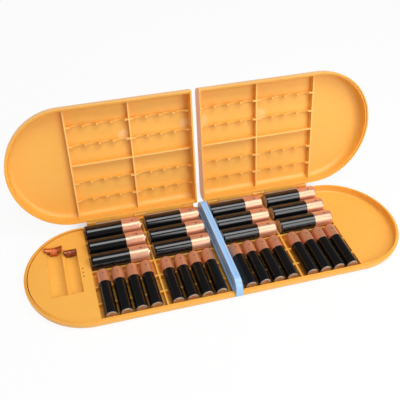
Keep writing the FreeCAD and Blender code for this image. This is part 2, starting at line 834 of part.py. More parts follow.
def make_tester_parts():
    """Board, chip, lights and contacts of the battery tester."""
    left, right = board_edges()
    board_top = board_rest + D.board_thickness
    half = D.board_length / 2
    low, high = (left, -half, board_rest), (right, half, board_top)
    pieces = [make_block("tester_circuit_board", low, high)]

    middle = (left + right) / 2
    chip = D.chip_size / 2
    behind = D.led_y + D.led_pitch * 3
    low = (middle - chip, behind - chip, board_top)
    high = (middle + chip, behind + chip, board_top + D.chip_height)
    pieces.append(make_block("tester_chip", low, high))

    names = ("replace_light", "weak_light", "good_light")
    for name, place in zip(names, led_places()):
        foot = (place[0], place[1], board_top)
        height = D.rib_top - D.led_drop - board_top
        pieces.append(make_rod(name, foot, D.led_radius, height))

    wells = (
        ("aa", aa_well_x, aa_well_radius, aa_well_back),
        ("aaa", aaa_well_x, aaa_well_radius, aaa_well_back),
    )
    for cell, x, radius, back in wells:
        name = f"{cell}_positive_contact"
        top = deck_level + D.contact_rise
        pieces.append(make_contact(name, x, radius, back, 1, top, True))
        name = f"{cell}_negative_contact"
        level = D.rib_top
        pieces.append(
            make_contact(name, x, radius, -D.well_front, -1, level, False)
        )
    return pieces


# ------------------------------------------------------------------------- cells


def make_cell(name, radius, length, button_radius, button, place, turn):
    """A cell lying down: a can and its positive button, along the turned Z axis."""
    can = doc.addObject("Part::Cylinder", f"{name}_can")
    can.setExpression("Radius", text(radius))
    can.setExpression("Height", text(length - button))
    tip = doc.addObject("Part::Cylinder", f"{name}_button")
    tip.setExpression("Radius", text(button_radius))
    tip.setExpression("Height", text(button))
    tip.setExpression("Placement.Base.z", text(length - button))
    cell = doc.addObject("Part::MultiFuse", name)
    cell.Label = name
    cell.Shapes = [can, tip]
    cell.Placement = Placement(Vector(*[number(p) for p in place]), turn)
    for axis, size in zip("xyz", place):
        cell.setExpression(f"Placement.Base.{axis}", text(size))
    return cell


def make_cells():
    """Twelve AA cells along X at the back, sixteen AAA cells along Y in front."""
    cells = []
    centres = (-outer_column_x, -inner_column_x, inner_column_x, outer_column_x)
    lying_x = Rotation(Vector(0, 1, 0), 90)
    level = D.floor + D.cell_gap + D.aa_radius
    for x in centres:
        for row in range(ROWS):
            y = band_pitch * (row + 0.5) - D.aa_shift
            place = (x - D.aa_length / 2, y, level)
            name = f"aa_battery_{len(cells) + 1:02d}"
            size = (D.aa_radius, D.aa_length, D.aa_button_radius, D.aa_button)
            cells.append(make_cell(name, *size, place, lying_x))
    lying_y = Rotation(Vector(1, 0, 0), -90)
    level = D.floor + D.cell_gap + D.aaa_radius
    front = -inner_radius + D.aaa_front_gap
    for at, x in enumerate(columns(centres), start=1):
        size = (D.aaa_radius, D.aaa_length, D.aaa_button_radius, D.aaa_button)
        name = f"aaa_battery_{at:02d}"
        cells.append(make_cell(name, *size, (x, front, level), lying_y))
    return cells


# ------------------------------------------------------------------------ export


def main():
    pieces = [make_tray(), make_deck(), make_bar()]
    pieces += [make_lid("left_lid", -1), make_lid("right_lid", 1)]
    pieces += [hinge_pin("left_hinge_pin", -1), hinge_pin("right_hinge_pin", 1)]
    pieces += make_tester_parts()
    pieces += make_cells()
    doc.recompute()

    for item in doc.Objects:
        if {"Invalid", "Error"} & set(item.State):
            raise RuntimeError(f"{item.Label} failed: {item.State}")
    os.makedirs("parts", exist_ok=True)
    for piece in pieces:
        shape = piece.Shape
        if shape.isNull() or not shape.isValid() or not shape.Solids:
            raise RuntimeError(f"{piece.Label} has no valid solid")
        shape.exportStep(f"parts/{piece.Label}.step")
        print(f"{piece.Label}: {len(shape.Solids)} solid, {shape.Volume:.0f} mm3")


main()
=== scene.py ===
"""Battery case: the moulded case, its tester and its cells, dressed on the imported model."""

import logging
import math
from dataclasses import dataclass
from enum import Enum
from typing import Callable, Iterable, Mapping, Optional, Sequence, Union

import bpy
from mathutils import Matrix, Vector


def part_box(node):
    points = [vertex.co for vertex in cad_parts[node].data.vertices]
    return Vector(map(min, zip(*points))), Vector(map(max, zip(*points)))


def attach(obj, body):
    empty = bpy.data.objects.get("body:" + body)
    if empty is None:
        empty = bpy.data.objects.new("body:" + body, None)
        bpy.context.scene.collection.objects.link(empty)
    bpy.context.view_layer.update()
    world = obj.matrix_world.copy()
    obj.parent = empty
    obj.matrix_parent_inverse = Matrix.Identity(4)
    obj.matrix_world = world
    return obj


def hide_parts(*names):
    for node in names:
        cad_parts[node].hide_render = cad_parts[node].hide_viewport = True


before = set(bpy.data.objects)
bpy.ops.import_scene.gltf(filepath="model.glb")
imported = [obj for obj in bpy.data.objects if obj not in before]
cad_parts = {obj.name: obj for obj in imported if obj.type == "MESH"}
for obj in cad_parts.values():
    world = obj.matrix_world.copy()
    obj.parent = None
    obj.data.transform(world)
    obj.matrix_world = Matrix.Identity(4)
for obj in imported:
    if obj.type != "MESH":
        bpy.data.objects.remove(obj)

log = logging.getLogger("battery_case")
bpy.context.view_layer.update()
MM = 0.001

Colour = tuple[float, float, float]
Place = tuple[float, float, float]


# ----------------------------------------------------------------- shader toolkit


class Number:
    """A number socket that takes part in Python sums."""

    def __init__(self, paint: "Paint", socket: bpy.types.NodeSocket) -> None:
        """Wraps one output socket of a material under construction."""
        self.paint = paint
        self.socket = socket

    def _with(self, operation: str, *others: Union["Number", float]) -> "Number":
        """Adds a Math node that starts with this number."""
        return self.paint.math(operation, self, *others)

    def __add__(self, other: Union["Number", float]) -> "Number":
        """Sum."""
        return self._with("ADD", other)

    __radd__ = __add__

    def __sub__(self, other: Union["Number", float]) -> "Number":
        """Difference."""
        return self._with("SUBTRACT", other)

    def __rsub__(self, other: Union["Number", float]) -> "Number":
        """Difference from a plain number."""
        return self.paint.math("SUBTRACT", other, self)

    def __mul__(self, other: Union["Number", float]) -> "Number":
        """Product."""
        return self._with("MULTIPLY", other)

    __rmul__ = __mul__

    def __lt__(self, other: Union["Number", float]) -> "Number":
        """1 where this is less, else 0."""
        return self._with("LESS_THAN", other)

    def __gt__(self, other: Union["Number", float]) -> "Number":
        """1 where this is greater, else 0."""
        return self._with("GREATER_THAN", other)

    def __abs__(self) -> "Number":
        """Size without its sign."""
        return self._with("ABSOLUTE")

    def fraction(self) -> "Number":
        """What is left after the whole number."""
        return self._with("FRACT")

    def most(self, other: Union["Number", float]) -> "Number":
        """The larger of two."""
        return self._with("MAXIMUM", other)

    def fade(self, start: float, end: float) -> "Number":
        """Goes smoothly from 0 at start to 1 at end.

        Args:
            start: The value where the fade begins.
            end: The value where it is complete; it may be the smaller one.

        Returns:
            The faded number, held between 0 and 1.
        """
        low, high = sorted((start, end))
        node = self.paint.node(
            "ShaderNodeMapRange",
            {"interpolation_type": "SMOOTHSTEP"},
            {0: self, 1: low, 2: high},
        )
        faded = Number(self.paint, node.outputs[0])
        return faded if start < end else 1 - faded


Input = Union[Number, bpy.types.NodeSocket, float, Sequence[float]]


class Paint:
    """A node material under construction, around one Principled shader."""

    def __init__(self, name: str) -> None:
        """Starts a material of that name."""
        self.material = bpy.data.materials.new(name)
        self.material.use_nodes = True
        self.tree = self.material.node_tree
        self.shader = self.tree.nodes["Principled BSDF"]

    def node(
        self,
        kind: str,
        settings: Optional[Mapping[str, object]] = None,
        inputs: Optional[Mapping[Union[str, int], Input]] = None,
    ) -> bpy.types.Node:
        """Adds a node.

        Args:
            kind: The node's type.
            settings: Attributes, set before the sockets are.
            inputs: Values or links of its sockets, by name or number.

        Returns:
            The new node.
        """
        node = self.tree.nodes.new(kind)
        for name, value in (settings or {}).items():
            setattr(node, name, value)
        for key, value in (inputs or {}).items():
            self.feed(node.inputs[key], value)
        return node

    def feed(self, target: bpy.types.NodeSocket, value: Input) -> None:
        """Links or sets one socket."""
        if isinstance(value, Number):
            value = value.socket
        if isinstance(value, bpy.types.NodeSocket):
            self.tree.links.new(value, target)
        elif isinstance(value, (int, float)):
            target.default_value = float(value)
        elif len(value) == 3 and target.type == "RGBA":
            target.default_value = (*value, 1.0)
        else:
            target.default_value = value

    def math(self, operation: str, *values: Union[Number, float]) -> Number:
        """Adds a Math node on up to three numbers."""
        inputs = dict(enumerate(values))
        node = self.node("ShaderNodeMath", {"operation": operation}, inputs)
        return Number(self, node.outputs[0])

    def wear(self, **values: Input) -> None:
        """Feeds the shader's sockets, spaces in their names written as underscores."""
        for name, value in values.items():
            self.feed(self.shader.inputs[name.replace("_", " ")], value)

    def place(self) -> bpy.types.NodeSocket:
        """Object coordinates, in metres."""
        return self.node("ShaderNodeTexCoord").outputs["Object"]

    def moved(
        self, vector: Input, shift: Place = (0, 0, 0), turn: Place = (0, 0, 0),
        scale: Place = (1, 1, 1),
    ) -> bpy.types.NodeSocket:
        """Shifts, turns and stretches coordinates with a Mapping node."""
        inputs = {0: vector, 1: shift, 2: turn, 3: scale}
        return self.node("ShaderNodeMapping", None, inputs).outputs[0]

    def split(self, vector: Input) -> tuple[Number, Number, Number]:
        """The three parts of a vector."""
        node = self.node("ShaderNodeSeparateXYZ", None, {0: vector})
        x, y, z = (Number(self, out) for out in node.outputs)
        return x, y, z

    def noise(self, vector: Input, scale: float, detail: float = 2.0) -> Number:
        """Noise from 0 to 1, around 0.5."""
        inputs = {"Vector": vector, "Scale": scale, "Detail": detail}
        return Number(self, self.node("ShaderNodeTexNoise", None, inputs).outputs[0])

    def mix(self, amount: Input, first: Input, second: Input) -> bpy.types.NodeSocket:
        """A colour between two others.

        Args:
            amount: How much of the second colour.
            first: The colour at 0.
            second: The colour at 1.

        Returns:
            The mixed colour's socket.
        """
        inputs = {0: amount, 6: first, 7: second}
        return self.node("ShaderNodeMix", {"data_type": "RGBA"}, inputs).outputs[2]

    def bump(self, height: Number, distance: float, strength: float = 1.0) -> None:
        """Raises the surface by a height of 0 to 1 times a distance in metres."""
        inputs = {"Height": height, "Distance": distance, "Strength": strength}
        self.wear(Normal=self.node("ShaderNodeBump", None, inputs).outputs[0])


# ------------------------------------------------------------------------ finishes


@dataclass(frozen=True)
class LidDetails:
    """Where a lid's finish changes and where its rib crests get a painted highlight, on the
    shut lid in metres.

    A pair of numbers is where a fade begins and where it is complete.
    """

    rib_crests: tuple[float, float] = (0.0147, 0.0141)
    ribs_from_middle: float = 0.0052
    ribs_to_side: float = 0.1105
    ribs_to_front: float = 0.0483
    # Crest tint and share are a painted highlight: the rib crests are lightened where front
    # light catches them.
    crest_highlight_tint: Colour = (1.0, 0.66, 0.22)
    crest_highlight_share: float = 0.5
    mark_edge: tuple[float, float] = (0.0052, 0.0036)
    mark_below: float = 0.0198
    mark_tint: Colour = (1.0, 0.66, 0.34)
    mark_share: float = 0.4
    mark_polish: float = 0.12
    mark_height: float = 0.8


@dataclass(frozen=True)
class MouldedPlastic:
    """Satin injection-moulded plastic with a fine skin and slight flow variation."""

    name: str
    colour: Colour
    deep: Colour
    roughness: float = 0.31
    grain: float = 1400.0
    relief: float = 0.03 * MM
    lid: LidDetails = LidDetails()

    def make(
        self,
        marks: Iterable[tuple[float, float]] = (),
        turn: float = 0.0,
        pivot: Place = (0.0, 0.0, 0.0),
    ) -> bpy.types.Material:
        """Builds the material; on a lid it also paints a highlight along the rib crests.

        Args:
            marks: X and Y of the ejector pins' round marks on a closed lid.
            turn: Angle that takes the piece back to its closed place, in radians.
            pivot: A point on the axis of that turn.

        Returns:
            The finished material.
        """
        paint = Paint(self.name)
        place = paint.place()
        broad = paint.noise(place, 14.0, 3.0)
        streaks = paint.noise(paint.moved(place, scale=(1.0, 7.0, 7.0)), 30.0, 2.0)
        tone = (broad * 0.7 + streaks * 0.3).fade(0.30, 0.72)
        skin = paint.noise(place, self.grain, 2.0)
        colour = paint.mix(tone * 0.55, self.colour, self.deep)
        shine = skin * 0.10 + (self.roughness - 0.08) + tone * 0.06
        height = skin * 0.35 + streaks * 0.25
        marks = list(marks)
        if marks:
            flat = paint.moved(
                paint.moved(place, shift=tuple(-p for p in pivot)), turn=(turn, 0, 0)
            )
            x, y, z = paint.split(paint.moved(flat, shift=pivot))
            lid = self.lid
            inside = (abs(y) < lid.ribs_to_front) * (abs(x) > lid.ribs_from_middle)
            inside = inside * (abs(x) < lid.ribs_to_side)
            # Painted highlight: the rib crests are lightened in colour, as if lit from the
            # front.
            crest_highlight = z.fade(*lid.rib_crests) * inside
            colour = paint.mix(crest_highlight * lid.crest_highlight_share, colour, lid.crest_highlight_tint)
            disc: Optional[Number] = None
            for mark_x, mark_y in marks:
                away = paint.math("POWER", x - mark_x, 2.0)
                away = away + paint.math("POWER", y - mark_y, 2.0)
                spot = paint.math("SQRT", away).fade(*lid.mark_edge)
                disc = spot if disc is None else disc.most(spot)
            disc = disc * (z < lid.mark_below)
            colour = paint.mix(disc * lid.mark_share, colour, lid.mark_tint)
            shine = shine - disc * lid.mark_polish
            height = height + disc * lid.mark_height
        paint.wear(Base_Color=colour, Roughness=shine, IOR=1.49)
        paint.bump(height, self.relief)
        return paint.material


@dataclass(frozen=True)
class SleeveFilm:
    """Printed shrink film around a cell: one colour, glossy, with a lapped seam."""

    name: str
    colour: Colour
    metallic: float
    roughness: float
    shine: float
    radius: float
    length: float
    plus_at: Optional[float] = None
    plus_size: float = 0.0

    def make(self) -> bpy.types.Material:
        """Builds the material on the cell's own UV map: u round it, v along it."""
        paint = Paint(self.name)
        chart = paint.node("ShaderNodeUVMap", {"uv_map": "wrap"}).outputs[0]
        u, v, _ = paint.split(chart)
        around = abs((u + 0.5).fraction() - 0.5) * (2 * math.pi * self.radius)
        along = v * self.length
        ripple = paint.noise(paint.moved(chart, scale=(2.0, 1.0, 1.0)), 3.0, 1.0)
        lap = abs((u + 0.13).fraction() - 0.5) * (2 * math.pi * self.radius)
        seam = lap.fade(0.0007, 0.0)
        dust = paint.noise(paint.place(), 700.0, 2.0)
        colour = paint.mix(
            dust.fade(0.45, 0.8) * 0.25, self.colour, tuple(c * 1.6 for c in self.colour)
        )
        if self.plus_at is not None:
            size = self.plus_size
            off = abs(along - self.plus_at)
            bar = (around < size / 2) * (off < size / 7)
            post = (around < size / 7) * (off < size / 2)
            colour = paint.mix(bar.most(post) * 0.85, colour, (0.02, 0.012, 0.01))
        paint.wear(
            Base_Color=colour,
            Metallic=self.metallic,
            Roughness=dust * 0.05 + self.roughness,
            IOR=self.shine,
        )
        paint.bump(ripple * 0.5 + seam * 0.5, 0.00004)
        return paint.material


@dataclass(frozen=True)
class SheetMetal:
    """Rolled or drawn metal with fine lines and a little tarnish."""

    name: str
    colour: Colour
    tarnish: Colour
    roughness: float = 0.24
    lines: Place = (1.0, 1.0, 30.0)
    tarnish_share: float = 0.35

    def make(self) -> bpy.types.Material:
        """Builds the material."""
        paint = Paint(self.name)
        place = paint.place()
        cloud = paint.noise(place, 260.0, 3.0).fade(0.35, 0.75)
        line = paint.noise(paint.moved(place, scale=self.lines), 900.0, 1.0)
        paint.wear(
            Base_Color=paint.mix(cloud * self.tarnish_share, self.colour, self.tarnish),
            Metallic=1.0,
            Roughness=line * 0.12 + cloud * 0.10 + self.roughness,
        )
        paint.bump(line, 0.000012)
        return paint.material


@dataclass(frozen=True)
class BoardLaminate:
    """Solder mask over a glass laminate, with copper tracks under the mask."""

    name: str = "green_laminate"
    mask: Colour = (0.020, 0.140, 0.055)
    track: Colour = (0.050, 0.260, 0.090)

    def make(self) -> bpy.types.Material:
        """Builds the material."""
        paint = Paint(self.name)
        place = paint.place()
        x, y, _ = paint.split(place)
        bend = (y * 90.0).fraction()
        lane = ((x * 900.0) + bend.fade(0.45, 0.55)).fraction()
        track = (abs(lane - 0.5) < 0.17) * (bend > 0.08)
        weave = paint.noise(place, 2400.0, 1.0)
        paint.wear(
            Base_Color=paint.mix(track, self.mask, self.track),
            Roughness=weave * 0.12 + 0.28,
        )
        paint.bump(track * 0.8 + weave * 0.3, 0.00003)
        return paint.material


@dataclass(frozen=True)
class MouldedEpoxy:
    """Matt black moulding compound of a chip."""

    name: str = "black_epoxy"
    colour: Colour = (0.016, 0.016, 0.018)

    def make(self) -> bpy.types.Material:
        """Builds the material."""
        paint = Paint(self.name)
        skin = paint.noise(paint.place(), 5200.0, 2.0)
        shade = paint.mix(skin, self.colour, tuple(c * 1.9 for c in self.colour))
        paint.wear(Base_Color=shade, Roughness=skin * 0.2 + 0.5)
        paint.bump(skin, 0.00002)
        return paint.material


@dataclass(frozen=True)
class TintedLens:
    """Clear tinted cap of an unlit light."""

    name: str
    colour: Colour

    def make(self) -> bpy.types.Material:
        """Builds the material."""
        paint = Paint(self.name)
        core = paint.noise(paint.place(), 1500.0, 1.0)
        shade = paint.mix(core * 0.6, self.colour, tuple(c * 0.45 for c in self.colour))
        paint.wear(Base_Color=shade, Roughness=core * 0.08 + 0.10, Coat_Weight=0.5)
        return paint.material


ORANGE = MouldedPlastic("orange_plastic", (0.965, 0.485, 0.085), (0.90, 0.42, 0.060))
BLUE = MouldedPlastic("blue_plastic", (0.385, 0.62, 0.92), (0.295, 0.54, 0.88))
NICKEL = SheetMetal("nickel_plate", (0.78, 0.76, 0.73), (0.52, 0.50, 0.47), 0.20)
# The flat end's warm cream tint is a painted reflection of the orange tray, lighter than
# plain plate.
FLAT_END_PAINTED_REFLECTION = SheetMetal("flat_end_painted_reflection", (0.97, 0.86, 0.70), (0.80, 0.68, 0.52), 0.42)
PIN_STEEL = SheetMetal(
    "pin_steel", (0.60, 0.60, 0.61), (0.40, 0.39, 0.38), 0.26, (0.05, 3.0, 3.0)
)
SPRING_COPPER = SheetMetal(
    "spring_copper", (0.78, 0.22, 0.075), (0.36, 0.070, 0.026), 0.34,
    (1.0, 12.0, 0.4), 0.75,
)
DULL_COPPER = SheetMetal(
    "dull_copper", (0.40, 0.13, 0.07), (0.14, 0.030, 0.018), 0.28,
    (1.0, 12.0, 0.4), 0.85,
)
GASKET = MouldedPlastic("seal_ring", (0.55, 0.53, 0.50), (0.42, 0.40, 0.38), 0.5)


# ------------------------------------------------------------------ modelling tools


def deselect() -> None:
    """Leaves object mode with nothing selected."""
    if bpy.context.object and bpy.context.object.mode != "OBJECT":
        bpy.ops.object.mode_set(mode="OBJECT")
    bpy.ops.object.select_all(action="DESELECT")


def only(piece: bpy.types.Object) -> None:
    """Selects one object and makes it the active one."""
    deselect()
    piece.select_set(True)
    bpy.context.view_layer.objects.active = piece


def pick(piece: bpy.types.Object, test: Callable[[Vector], bool]) -> None:
    """Selects in edit mode the vertices that the test picks by their place."""
    bpy.ops.object.mode_set(mode="OBJECT")
    for vertex in piece.data.vertices:
        vertex.select = test(vertex.co)
    for edge in piece.data.edges:
        edge.select = all(piece.data.vertices[at].select for at in edge.vertices)
    for face in piece.data.polygons:
        face.select = all(piece.data.vertices[at].select for at in face.vertices)
    bpy.ops.object.mode_set(mode="EDIT")


def lathe(
    name: str, profile: Sequence[tuple[float, float]], around: int
) -> bpy.types.Object:
    """A closed turned piece on the Z axis, made ring by ring from a circle.

    Args:
        name: The object's name.
        profile: Radius and height of each ring, from the foot to the top.
        around: Number of vertices in a ring.

    Returns:
        The new object, with flat caps at both ends.
    """
    deselect()
    radius, height = profile[0]
    bpy.ops.mesh.primitive_circle_add(
        vertices=around, radius=radius, location=(0, 0, height), fill_type="NGON"
    )
    piece = bpy.context.object
    piece.name = name
    bpy.ops.object.transform_apply(location=True, rotation=True, scale=True)
    bpy.ops.object.mode_set(mode="EDIT")
    bpy.ops.mesh.select_mode(type="EDGE")
    bpy.ops.mesh.select_all(action="SELECT")
    bpy.ops.mesh.extrude_region_move(TRANSFORM_OT_translate={"value": (0, 0, 0)})
    for next_radius, next_height in profile[1:]:
        bpy.ops.transform.translate(value=(0, 0, next_height - height))
        ratio = next_radius / radius
        bpy.ops.transform.resize(value=(ratio, ratio, 1))
        radius, height = next_radius, next_height
        if (next_radius, next_height) != profile[-1]:
            bpy.ops.mesh.extrude_region_move(
                TRANSFORM_OT_translate={"value": (0, 0, 0)}
            )
    bpy.ops.mesh.select_all(action="SELECT")
    bpy.ops.mesh.normals_make_consistent(inside=False)
    bpy.ops.object.mode_set(mode="OBJECT")
    return piece


def seat(piece: bpy.types.Object, matrix: Matrix) -> None:
    """Puts a piece where the matrix says, with its place in its mesh."""
    only(piece)
    piece.matrix_world = matrix
    bpy.ops.object.transform_apply(location=True, rotation=True, scale=True)


def copy_of(piece: bpy.types.Object, name: str) -> bpy.types.Object:
    """A copy with a mesh of its own."""
    only(piece)
    bpy.ops.object.duplicate(linked=False)
    twin = bpy.context.object
    twin.name = name
    twin.data.name = name
    return twin


def smooth(piece: bpy.types.Object, degrees: float = 32.0) -> None:
    """Smooth shading, with creases where faces meet at more than the angle."""
    only(piece)
    bpy.ops.object.shade_smooth_by_angle(angle=math.radians(degrees))


def dress(piece: bpy.types.Object, *materials: bpy.types.Material) -> None:
    """Puts materials on a piece, the first one on all its faces."""
    piece.data.materials.clear()
    for material in materials:
        piece.data.materials.append(material)


# -------------------------------------------------------------------------- studio


@dataclass(frozen=True)
class SoftBox:
    """A rectangular lamp: its middle, the point it faces, its size and its watts."""

    name: str
    place: Place
    target: Place
    size: tuple[float, float]
    power: float


@dataclass
class Studio:
    """Pale floor, two soft boxes, a surround that is white low down, and the camera."""

    eye: Place = (-0.11963, -0.27702, 0.33930)
    right: Place = (0.96841, -0.24937, 0.0)
    up: Place = (0.17953, 0.69720, 0.69404)
    back: Place = (-0.17307, -0.67211, 0.71994)
    lens: float = 46.976
    shift: tuple[float, float] = (0.0908, 0.0708)
    ambient: float = 0.43
    surround: float = 0.10
    white_below: float = 6.0
    grey_above: float = 14.0
    floor_size: float = 6.0
    floor_glow: float = 0.92
    shade_sides: tuple[float, float] = (0.125, 0.090)
    shade_middle: tuple[float, float] = (0.004, 0.016)
    shade_front: tuple[float, float] = (0.044, 0.055)
    shade_back: tuple[float, float] = (0.100, 0.066)
    shade_depth: float = 0.8
    boxes: tuple[SoftBox, ...] = (
        SoftBox("top_box", (0.25, -0.17, 0.90), (0.25, -0.17, 0.0), (0.80, 0.46), 4.8),
        SoftBox("front_box", (0.45, -0.72, 0.54), (0.02, 0.0, 0.03), (0.70, 0.55), 3.8),
    )

    def build(self) -> None:
        """Makes the floor, the surround, the lamps and the camera."""
        self.make_floor()
        self.make_surround()
        for box in self.boxes:
            self.make_lamp(box)
        self.make_camera()

    def make_floor(self) -> None:
        """A wide floor that reads as white, with a soft shadow and a shaded strip."""
        deselect()
        bpy.ops.mesh.primitive_plane_add(size=self.floor_size, location=(0, 0, 0))
        floor = bpy.context.object
        floor.name = "floor"
        paint = Paint("pale_floor")
        paint.wear(Base_Color=(0.86, 0.86, 0.86), Roughness=0.8)
        ray = paint.node("ShaderNodeLightPath")
        seen = Number(paint, ray.outputs["Is Camera Ray"])
        for kind in ("Is Glossy Ray", "Is Transmission Ray"):
            seen = seen.most(Number(paint, ray.outputs[kind]))
        x, y, _ = paint.split(paint.place())
        shaded = abs(x).fade(*self.shade_sides) * abs(x).fade(*self.shade_middle)
        shaded = shaded * y.fade(*self.shade_front) * y.fade(*self.shade_back)
        seen = seen * (1 - shaded * self.shade_depth)
        white = paint.node("ShaderNodeEmission", None, {"Color": (1.0, 1.0, 1.0)})
        blend = paint.node(
            "ShaderNodeMixShader",
            None,
            {0: seen * self.floor_glow, 1: paint.shader.outputs[0], 2: white.outputs[0]},
        )
        output = paint.tree.nodes["Material Output"]
        paint.feed(output.inputs["Surface"], blend.outputs[0])
        dress(floor, paint.material)

    def make_surround(self) -> None:
        """White near the horizon and dim above, so that dark gloss stays dark."""
        world = bpy.data.worlds.new("surround")
        bpy.context.scene.world = world
        world.use_nodes = True
        tree = world.node_tree
        shader = tree.nodes["Background"]
        where = tree.nodes.new("ShaderNodeTexCoord")
        parts = tree.nodes.new("ShaderNodeSeparateXYZ")
        tree.links.new(where.outputs["Generated"], parts.inputs[0])
        level = tree.nodes.new("ShaderNodeMapRange")
        level.interpolation_type = "SMOOTHSTEP"
        level.inputs[1].default_value = math.sin(math.radians(self.white_below))
        level.inputs[2].default_value = math.sin(math.radians(self.grey_above))
        level.inputs[3].default_value = 1.0
        level.inputs[4].default_value = self.surround
        tree.links.new(parts.outputs["Z"], level.inputs[0])
        ray = tree.nodes.new("ShaderNodeLightPath")
        choice = tree.nodes.new("ShaderNodeMix")
        tree.links.new(ray.outputs["Is Diffuse Ray"], choice.inputs[0])
        tree.links.new(level.outputs[0], choice.inputs[2])
        choice.inputs[3].default_value = self.ambient
        backdrop = tree.nodes.new("ShaderNodeMix")
        tree.links.new(ray.outputs["Is Camera Ray"], backdrop.inputs[0])
        tree.links.new(choice.outputs[0], backdrop.inputs[2])
        backdrop.inputs[3].default_value = 1.0
        tree.links.new(backdrop.outputs[0], shader.inputs["Strength"])
        shader.inputs["Color"].default_value = (1.0, 1.0, 1.0, 1.0)

    def make_lamp(self, box: SoftBox) -> None:
        """Adds one soft box."""
        deselect()
        bpy.ops.object.light_add(type="AREA", location=box.place)
        lamp = bpy.context.object
        lamp.name = box.name
        lamp.data.shape = "RECTANGLE"
        lamp.data.size, lamp.data.size_y = box.size
        lamp.data.energy = box.power
        aim = Vector(box.target) - Vector(box.place)
        lamp.rotation_euler = aim.to_track_quat("-Z", "Y").to_euler()

    def make_camera(self) -> None:
        """The camera above the front left of the case."""
        data = bpy.data.cameras.new("view")
        camera = bpy.data.objects.new("view", data)
        bpy.context.scene.collection.objects.link(camera)
        turned = Matrix((self.right, self.up, self.back)).transposed().to_4x4()
        camera.matrix_world = Matrix.Translation(self.eye) @ turned
        data.lens = self.lens
        data.sensor_width = 36.0
        data.shift_x, data.shift_y = self.shift
        data.clip_start = 0.01
        bpy.context.scene.camera = camera


# ---------------------------------------------------------------------- moulded case


@dataclass
class CaseShell:
    """Tray, tester deck and the two lids, all in one orange plastic."""

    open_angle: float = 108.2
    hinge: Place = (0.0, 0.0531, 0.0101)
    marks: tuple[tuple[float, float], ...] = ((0.062, -0.0195), (0.0085, -0.0215))

    def build(self) -> None:
        """Dresses the four mouldings."""
        plain = ORANGE.make()
        for node in ("base_tray", "tester_deck"):
            dress(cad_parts[node], plain)
        for side, sign in (("left", -1), ("right", 1)):
            places = [(x * sign, y) for x, y in self.marks]
            turn = math.radians(self.open_angle)
            lid = MouldedPlastic(f"{side}_lid_plastic_with_painted_crest_highlight", ORANGE.colour, ORANGE.deep)
            skin = lid.make(places, turn, self.hinge)
            dress(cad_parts[f"{side}_lid"], skin)
        log.info("case shell dressed")


@dataclass
class BarAndPins:
    """The blue bar on the centre line and the steel pins of the hinges."""

    def build(self) -> None:
        """Dresses the bar and the pins."""
        dress(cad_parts["centre_bar"], BLUE.make())
        steel = PIN_STEEL.make()
        for node in ("left_hinge_pin", "right_hinge_pin"):
            dress(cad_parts[node], steel)
        log.info("bar and pins dressed")


# -------------------------------------------------------------------------- tester


class Verdict(Enum):
    """The tester's three lights, by node, material slot and lens colour."""

    REPLACE = ("replace_light", "red_light", (0.50, 0.030, 0.020))
    WEAK = ("weak_light", "yellow_light", (0.60, 0.42, 0.030))
    GOOD = ("good_light", "green_light", (0.030, 0.34, 0.070))


